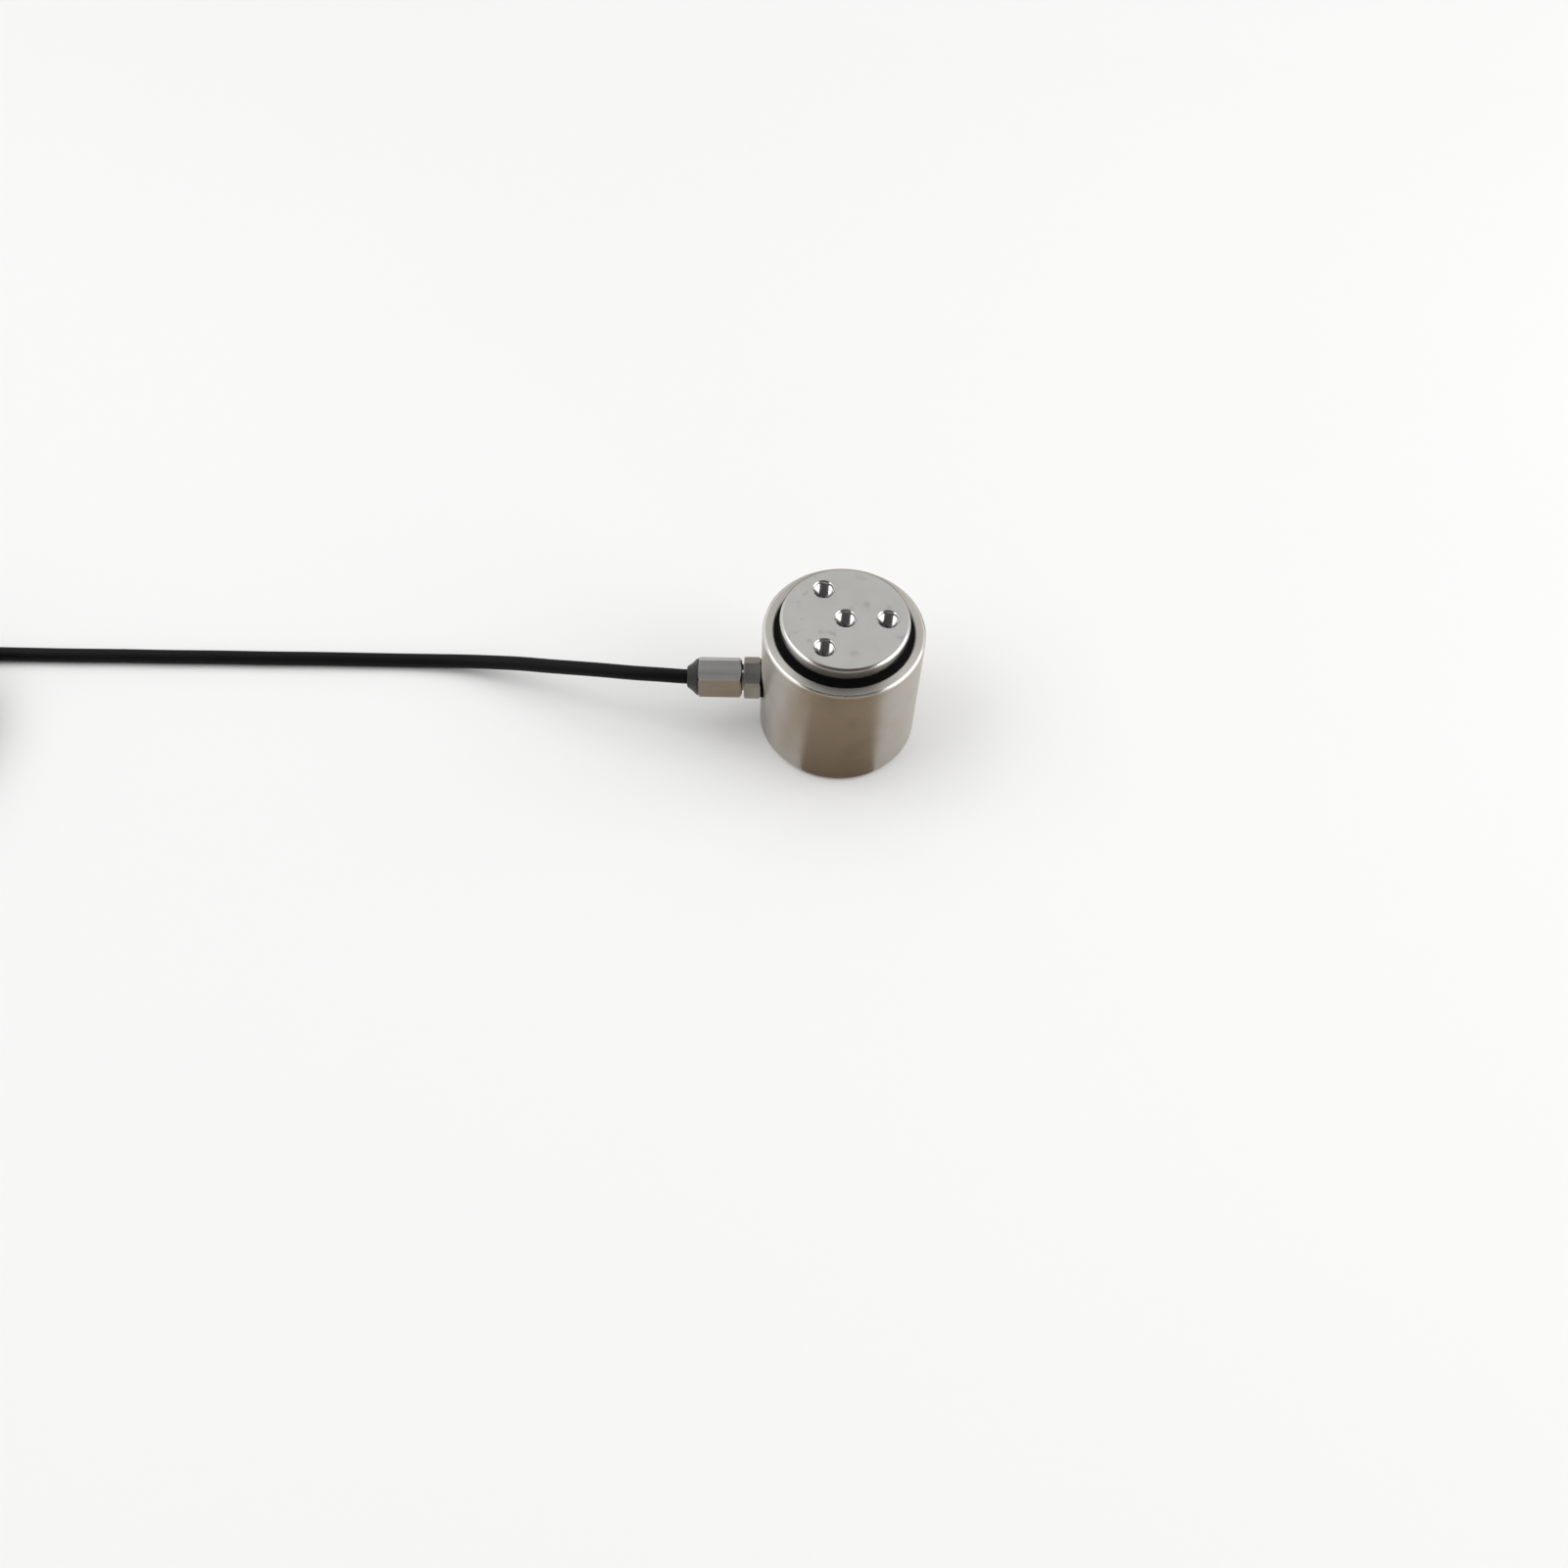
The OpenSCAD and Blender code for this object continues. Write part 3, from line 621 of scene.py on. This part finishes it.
def thread(name, root, crest, pitch, start, turns, around_steps=32):
    """A helical ridge from a triangle, rising along +Z from a start height in mm."""
    wide = pitch * 0.44
    corners = [(root, start - wide), (crest, start), (root, start + wide), (root, start - wide)]
    piece = draw(name, [Vector((r, 0, z)) * mm for r, z in corners])
    tidy()
    screw = piece.modifiers.new("helix", "SCREW")
    screw.axis = "Z"
    screw.screw_offset = pitch * mm
    screw.iterations = turns
    screw.steps = screw.render_steps = around_steps
    screw.use_smooth_shade = False
    apply_all(piece)
    bpy.ops.object.mode_set(mode="EDIT")
    bpy.ops.mesh.select_all(action="SELECT")
    bpy.ops.mesh.fill_holes(sides=3)
    tidy()
    return piece


top_threads = repeat(thread("top_threads", 2.03, 1.66, 0.7, -6.75, 9), top_places)
base_threads = repeat(thread("base_threads", 2.03, 1.66, 0.7, -5.0, 6), base_places)
dress(top_threads, disc_finish, "spring_metal", angle=25)
dress(base_threads, disc_finish, "spring_metal", angle=25)

# %% [markdown]
# ## The outer sleeve
# The sleeve is a thick tube round the column. It carries the gland, so a small round flat is faced
# on its side and a hole goes through it. Its rim and its foot have a turned chamfer. The facing
# tool is a turned shape as well, spun on the gland's axis, so that one cut makes flat and hole. A
# narrow bevel then takes the sharpness off the edges, because no real edge is perfectly sharp.

# %% Turn on the gland's axis, and soften edges
spot_x, gland_z = -15.35, 13.0


def on_gland(name, outline, around_steps=64):
    """A piece turned on the gland's axis. The outline is in mm: distance from the sleeve and radius."""
    points = [Vector((spot_x - u, 0, gland_z + r)) * mm for u, r in outline]
    return spin(name, points, around_steps, (0, 0, gland_z * mm), (1, 0, 0))


def soften(piece, width, segments, angle, finishes=()):
    """A narrow round bevel on all edges sharper than an angle, with a finish of its own if two are given."""
    for finish in finishes:
        piece.data.materials.append(finish.material)
    bevel = piece.modifiers.new("edges", "BEVEL")
    bevel.width = width * mm
    bevel.segments = segments
    bevel.limit_method = "ANGLE"
    bevel.angle_limit = math.radians(angle)
    bevel.material = len(finishes) - 1
    apply_all(piece)


print("the gland's axis is", gland_z, "mm above the base")

# %% Turn and drill the sleeve
sleeve_line = [
    (13.8, 0.2), (15.5, 0.2), (16.0, 0.7), (16.0, 28.4), (15.94, 28.62), (15.6, 28.94), (15.42, 29.0),
    (14.06, 29.0), (13.8, 28.8), (13.8, 0.2),
]
sleeve = turned("outer_sleeve_metal", sleeve_line, 224)
stem_hole = 2.53
facing = [(1.5, 0), (1.5, 4.3), (0, 4.3), (0, stem_hole), (-3.5, stem_hole), (-3.5, 0)]
combine(sleeve, on_gland("facing_tool", facing, 96), "DIFFERENCE")
soften(sleeve, 0.05, 2, 34)
dress(sleeve, sleeve_finish, "sleeve_metal", "outer_sleeve")

# %% [markdown]
# ## The seal between disc and sleeve
# Soft black sealant fills the ring between the disc and the sleeve. It was wiped in by hand: it
# climbs up the disc's side, sags towards the sleeve and is never quite even. It could be sculpted,
# but a turned ring with a slight displacement from a soft texture is quick and always the same.

# %% Lay the bead of sealant
hollow = [(13.8 - 1.1 * s / 8, 28.72 + 1.62 * (s / 8) ** 2.4) for s in range(9)]
seal = turned("top_seal_bead", [(12.7, 26.8), (13.8, 26.8), *hollow, (12.7, 26.8)], 160)
unevenness = bpy.data.textures.new("hand_wiped", "CLOUDS")
unevenness.noise_scale = 3.5 * mm
wiped = seal.modifiers.new("wiped", "DISPLACE")
wiped.texture = unevenness
wiped.texture_coords = "LOCAL"
wiped.strength = 0.14 * mm
wiped.mid_level = 0.5
apply_all(seal)
dress(seal, rubber, "black_rubber", "top_seal", angle=60)

# %% [markdown]
# ## The cable gland
# A gasket, a body with a hexagon and a thread, a nut with a hexagon, and a rubber cone that keeps
# the cable from kinking. The hexagons are cut from six-sided bar whose corners are turned off at
# the ends, so each is a six-sided cylinder that is intersected with a turned shape.

# %% Gasket and strain relief
gasket_line = [(0, stem_hole), (0, 3.85), (0.4, 4.0), (0.8, 3.85), (0.8, stem_hole), (0, stem_hole)]
gasket = on_gland("gland_gasket_ring", gasket_line)
soften(gasket, 0.1, 3, 25)
dress(gasket, rubber, "black_rubber", "gland_gasket", angle=60)
cone = [
    (13.2, 3.45), (13.3, 3.70), (13.5, 3.76), (13.85, 3.50), (14.3, 3.05), (14.8, 2.62), (15.2, 2.36),
    (15.45, 2.22), (15.6, 1.98), (15.65, 1.66), (15.6, 1.45),
]
collar = [(9.1, 1.45), (9.1, 2.9), (10, 2.9), (10, 2.2), (13.2, 2.2)]
relief = on_gland("strain_relief_cone", [*collar, *cone, collar[0]])
dress(relief, relief_rubber, "black_rubber", "strain_relief", angle=50)

# %% The two hexagons
across_flats = 7.5


def hex_bar(name, start, length, chamfer_in, chamfer_out, turned_by):
    """A hexagonal bar on the gland's axis, with its corners turned off. Sizes in mm and degrees."""
    corner = across_flats / 2 / math.cos(math.pi / 6)
    clear()
    bpy.ops.mesh.primitive_cylinder_add(vertices=6, radius=corner * mm, depth=length * mm)
    bar = bpy.context.object
    bar.name = bar.data.name = name
    middle = Matrix.Translation(Vector((spot_x - start - length / 2, 0, gland_z)) * mm)
    aim = Matrix.Rotation(math.radians(-90), 4, "Y") @ Matrix.Rotation(math.radians(turned_by + 30), 4, "Z")
    bar.matrix_world = middle @ aim
    pick(bar)
    bpy.ops.object.transform_apply(location=True, rotation=True, scale=True)
    end = start + length
    line = [
        (start - 0.1, 0), (start - 0.1, corner - chamfer_in - 0.16),
        (start + chamfer_in * 0.6, corner + 0.01), (end - chamfer_out * 0.6, corner + 0.01),
        (end + 0.1, corner - chamfer_out - 0.16), (end + 0.1, 0),
    ]
    combine(bar, on_gland("corner_tool", line, 96), "INTERSECT")
    # The bevels get the edge finish, whose bright colour is a painted highlight.
    soften(bar, 0.2, 3, 40, [gland_finish, worn_edge])
    return bar


gland_nut = hex_bar("gland_nut_metal", 4.5, 8.75, 0.87, 0.40, 15)
nut_bore = [(4, 0), (4, 3.4), (4.86, 2.93), (10, 2.93), (10, 2.2), (14, 2.2), (14, 0)]
combine(gland_nut, on_gland("nut_tap", nut_bore), "DIFFERENCE")
dress(gland_nut, gland_finish, "gland_metal", "gland_nut")

# %% The gland's body and its thread
gland_body = hex_bar("gland_body_metal", 0.8, 3.3, 0.40, 0.40, 7)
stem = [
    (-2.35, 0), (-2.35, 2.35), (-2.2, 2.5), (0.95, 2.5), (0.95, 2.62), (8.0, 2.62), (8.1, 2.5), (8.1, 0),
]
combine(gland_body, on_gland("stem", stem), "UNION")
body_bore = [(-3, 0), (-3, 1.7), (5.1, 1.7), (5.1, 2.3), (9, 2.3), (9, 0)]
combine(gland_body, on_gland("body_drill", body_bore), "DIFFERENCE")
dress(gland_body, gland_finish, "gland_metal", "gland_body")
gland_start = Matrix.Translation(Vector((spot_x, 0, gland_z)) * mm)
on_axis = gland_start @ Matrix.Rotation(math.radians(-90), 4, "Y")
gland_thread = thread("gland_thread", 2.58, 2.89, 0.5, 4.35, 7)
gland_thread.matrix_world = on_axis
pick(gland_thread)
bpy.ops.object.transform_apply(location=True, rotation=True, scale=True)
dress(gland_thread, gland_finish, "gland_metal", angle=25)

# %% [markdown]
# ## The coil's ties
# Three nylon ties hold the coil. Each is a flat band round the bundle, with a square lock on the
# outside. A flat curve could follow the same way, but a rounded frame that is drawn out to the
# band's width has clean corners and few faces.

# %% The band
band_size, band_width, band_level = 13, 2.5, 6.5
clear()
bpy.ops.mesh.primitive_plane_add(size=1)
tie = bpy.context.object
tie.name = "coil_tie"
tie.scale = (band_size * mm, band_size * mm, 1)
tie.rotation_euler = (math.radians(90), 0, 0)
tie.location = Vector((18, band_width / 2, band_level)) * mm
bpy.ops.object.transform_apply(location=True, rotation=True, scale=True)
bpy.ops.object.mode_set(mode="EDIT")
bpy.ops.mesh.select_all(action="SELECT")
bpy.ops.mesh.bevel(offset=1.8 * mm, segments=5, affect="VERTICES")
bpy.ops.mesh.select_all(action="SELECT")
bpy.ops.mesh.inset(thickness=0.5 * mm, depth=0)
bpy.ops.mesh.delete(type="FACE")
bpy.ops.mesh.select_all(action="SELECT")
bpy.ops.mesh.extrude_region_move(TRANSFORM_OT_translate={"value": (0, -band_width * mm, 0)})
tidy()
soften(tie, 0.12, 2, 60)
print("band faces:", len(tie.data.polygons))

# %% A lock with a window
clear()
bpy.ops.mesh.primitive_cube_add(size=1)
lock = bpy.context.object
lock.scale = Vector((2.16, 3.6, 3.6)) * mm
lock.location = Vector((25.33, 0, band_level)) * mm
bpy.ops.object.transform_apply(location=True, rotation=True, scale=True)
soften(lock, 0.3, 3, 40)
window_line = [(-1.3, 5.6), (1.3, 5.6), (1.3, 6.6), (-1.3, 6.6), (-1.3, 5.6)]
window = draw("lock_window", [Vector((25.0, y, z)) * mm for y, z in window_line])
tidy()
pick(window)
bpy.ops.object.mode_set(mode="EDIT")
bpy.ops.mesh.select_all(action="SELECT")
bpy.ops.mesh.edge_face_add()
bpy.ops.mesh.extrude_region_move(TRANSFORM_OT_translate={"value": (3 * mm, 0, 0)})
tidy()
combine(lock, window, "DIFFERENCE")
print("lock faces:", len(lock.data.polygons))

# %% Join band and lock, and copy them round the coil
pick(tie)
lock.select_set(True)
bpy.ops.object.join()
thirds = [Matrix.Rotation(math.radians(a), 4, "Z") for a in (0, 120, 240)]
ties = repeat(tie, [Matrix.Translation(coil_middle) @ third for third in thirds])
ties.name = ties.data.name = "coil_ties_nylon"
dress(ties, nylon, "nylon", "coil_ties")

# %% [markdown]
# ## The cable's free end
# The jacket ends in a short shrunk tube. Four cores and the twisted shield wires come out of it,
# with their tips tinned, ready for terminals. They lie in the gap that the last turn leaves. Each
# could be drawn freely, but curves beside the coil's own curve come out of the tube where they lie
# in the jacket. They are made meshes at once, because they keep their shape from here on.

# %% Points beside the cable's end
before_stub = 14
core_spread, shield_spread, strand_spread = 0.477, 0.972, 0.075


def along_end(start, length, out, up, count):
    """Points beside the end of the cable: from an angle in degrees, over a length in mm."""
    full = math.degrees(length / stub_radius)
    first = stub_from - before_stub + start
    return [coil_point(first + full * k / (count - 1), out, up) for k in range(count)]


def as_mesh(piece):
    """Turns a curve into a mesh."""
    pick(piece)
    bpy.ops.object.convert(target="MESH")
    bpy.ops.object.mode_set(mode="EDIT")
    tidy()
    return bpy.context.object


print("the stub turns by", round(stub_turn, 1), "degrees")

# %% Shrunk tube
taper = [1, 1, 1, 1, 1, 0.99, 0.93, 0.86, 0.8]
tube = as_mesh(wire("end_sleeve_tube", along_end(16.5, 5, 0, 0, 9), 3.4 * mm, 6, 2, taper))
dress(tube, end_tube, "end_tube", "end_sleeve", angle=50)
on_cord = [ties, tube]

# %% Cores and their tinned tips
core_from = before_stub + stub_turn
spots = {"red": (-1, 1), "green": (-1, -1), "white": (1, 1), "black": (1, -1)}
for name, (out, up) in spots.items():
    out, up = out * core_spread, up * core_spread
    core = as_mesh(wire(name + "_core_wire", along_end(core_from, 8.6, out, up, 8), 0.9 * mm, 4, 2))
    dress(core, core_finishes[name], name + "_core", name + "_core", angle=50)
    bare = as_mesh(wire(name + "_core_tip", along_end(core_from + 20.5, 3.8, out, up, 5), 0.52 * mm, 3, 2))
    dress(bare, tinned, "shield", angle=50)
    on_cord += [core, bare]

# %% Twisted shield
shield_strands = []
for k in range(3):
    points = []
    for n, spot in enumerate(along_end(core_from, 9.6, shield_spread, 0, 25)):
        phase = n * 0.55 + k * 2 * math.pi / 3
        points.append(spot + Vector((0, math.cos(phase), math.sin(phase))) * strand_spread * mm)
    shield_strands.append(as_mesh(wire("shield_strand", points, 0.14 * mm, 2, 2)))
clear()
for strand in shield_strands:
    strand.select_set(True)
bpy.context.view_layer.objects.active = shield_strands[0]
bpy.ops.object.join()
shield = bpy.context.object
shield.name = shield.data.name = "shield_strands"
dress(shield, tinned, "shield", "shield_core", angle=50)
on_cord.append(shield)

dress(cable, jacket, "cable_jacket", "cable", "cable_coil")
on_cord += [gasket, gland_body, gland_thread, gland_nut, relief, nodes["cable_grommet"], nodes["clamp_ring"]]
print("pieces on the cable:", len(on_cord))

# %% [markdown]
# ## What is sealed inside
# The strain gauges, the small board and the leads can't be seen in the closed cell, but they are
# real parts of it. New meshes would never show, so they keep the measured ones and only get the
# finish of what they are made of.

# %% Finishes of the sealed pieces
sealed = {
    "backing_ring": grey_rubber, "base_ring": grey_rubber, "axial_gauges": film_finish,
    "transverse_gauges": film_finish, "axial_foils": foil_finish, "transverse_foils": foil_finish,
    "terminal_board": board_finish, "solder_pads": solder_finish, "trim_resistors": chip_finish,
    "board_screws": screw_finish, "gauge_wires": enamel_finish, "red_lead": core_finishes["red"],
    "green_lead": core_finishes["green"], "white_lead": core_finishes["white"],
    "black_lead": core_finishes["black"], "shield_lead": tinned, "cable_grommet": rubber,
    "clamp_ring": nylon,
}
for name, finish in sealed.items():
    slots = nodes[name].data.materials
    for k in range(max(1, len(slots))):
        if k < len(slots):
            slots[k] = finish.material
        else:
            slots.append(finish.material)
print(len(sealed), "sealed pieces finished")

# %% [markdown]
# ## Floor and light
# The floor is plain and pale and takes a soft shadow, and far off it fades into the white of the
# background. Two broad lamps stand left and right, as windows would, and one hangs above. Metal
# shows what is round it, so cards stand about, as in a product photographer's studio: a grey one in
# front, a dark one above, brown ones on the floor. The camera doesn't see them, and they cast no
# shadow, but they give the sleeve the dark band between its two bright ones. A picture of a studio
# in the world would be quicker, but lamps and cards can be read and changed one by one.

# %% Floor
clear()
bpy.ops.mesh.primitive_circle_add(vertices=96, radius=4, fill_type="NGON")
floor = bpy.context.object
floor.name = "floor"
floor_finish = Finish("pale_floor", {"Roughness": 0.9, "Specular IOR Level": 0.1, "Emission Strength": 1.0})
distant = around(floor_finish).between(0.35, 0.9) * floor_finish.seen()
pale = floor_finish.mix(floor_finish.noise(3, 2), (0.90, 0.90, 0.895), (0.93, 0.93, 0.925))
floor_finish.use(
    colour=floor_finish.mix(distant, pale, (0, 0, 0)), glow=floor_finish.mix(distant, (0, 0, 0), (1, 1, 1)),
)
floor.data.materials.append(floor_finish.material)

# %% Lamps


def lamp(name, place, aim, wide, high, power):
    """A broad soft lamp that faces a point."""
    light = bpy.data.lights.new(name, "AREA")
    light.shape = "RECTANGLE"
    light.size, light.size_y = wide, high
    light.energy = power
    stand = bpy.data.objects.new(name, light)
    stand.location = place
    stand.rotation_euler = (Vector(aim) - Vector(place)).to_track_quat("-Z", "Y").to_euler()
    bpy.context.scene.collection.objects.link(stand)


lamp("left_window", (-0.70, -0.05, 0.80), (0, 0, 0.02), 0.9, 0.6, 3.2)
lamp("right_window", (0.80, -0.06, 0.52), (0, 0, 0.02), 0.9, 0.6, 3.6)
lamp("overhead", (0.0, 0.35, 1.1), (0, 0, 0), 1.5, 1.1, 4.4)
print("three lamps hung")

# %% Cards that only mirrors see


def card(name, corners, near, far):
    """A flat card through its corners, in mm, with a tone near the cell and one further off. A darker near
    tone is a painted shadow of the cell.
    """
    piece = draw(name, [Vector(corner) * mm for corner in [*corners, corners[0]]])
    bpy.ops.mesh.select_all(action="SELECT")
    bpy.ops.mesh.remove_doubles(threshold=1e-6)
    bpy.ops.mesh.edge_face_add()
    bpy.ops.object.mode_set(mode="OBJECT")
    finish = Finish(name, {"Roughness": 0.9, "Specular IOR Level": 0.0})
    finish.use(colour=finish.mix(around(finish).between(22 * mm, 40 * mm), near, far))
    piece.data.materials.append(finish.material)
    piece.visible_camera = piece.visible_shadow = piece.visible_diffuse = False


light_grey, dark_grey = (0.36, 0.34, 0.32), (0.11, 0.11, 0.11)
before_it = [(-560, -560, 5), (560, -560, 5), (560, -620, 425), (-560, -620, 425)]
card("card_in_front", before_it, light_grey, light_grey)
over_it = [(-560, -620, 432), (560, -620, 432), (360, 170, 760), (-360, 170, 760)]
card("card_above", over_it, dark_grey, dark_grey)
brown, tan = (0.36, 0.27, 0.19), (0.56, 0.45, 0.34)
# The floor card's brown near the cell is a painted shadow of the cell, seen in reflections.
card("card_on_floor", [(-8, -14.6, 0.3), (8, -14.6, 0.3), (330, -260, 0.3), (-330, -260, 0.3)], brown, tan)
card("card_by_gland", [(-34, -13, 0.3), (-18, -13, 0.3), (-18, -32, 0.3), (-40, -32, 0.3)], tan, tan)
card("card_behind", [(-6, 16.5, 0.3), (10, 14.5, 0.3), (360, 220, 0.3), (-200, 260, 0.3)], brown, brown)
print("five cards set up")

# %% World
studio = Nodes(bpy.data.worlds.new("studio"), "Background", {"Color": (1, 1, 1)})
studio.feed(studio.shader.inputs["Strength"], studio.seen() * 0.55 + 0.45)
bpy.context.scene.world = studio.owner
bpy.context.scene.view_settings.view_transform = "Standard"
print("world set")
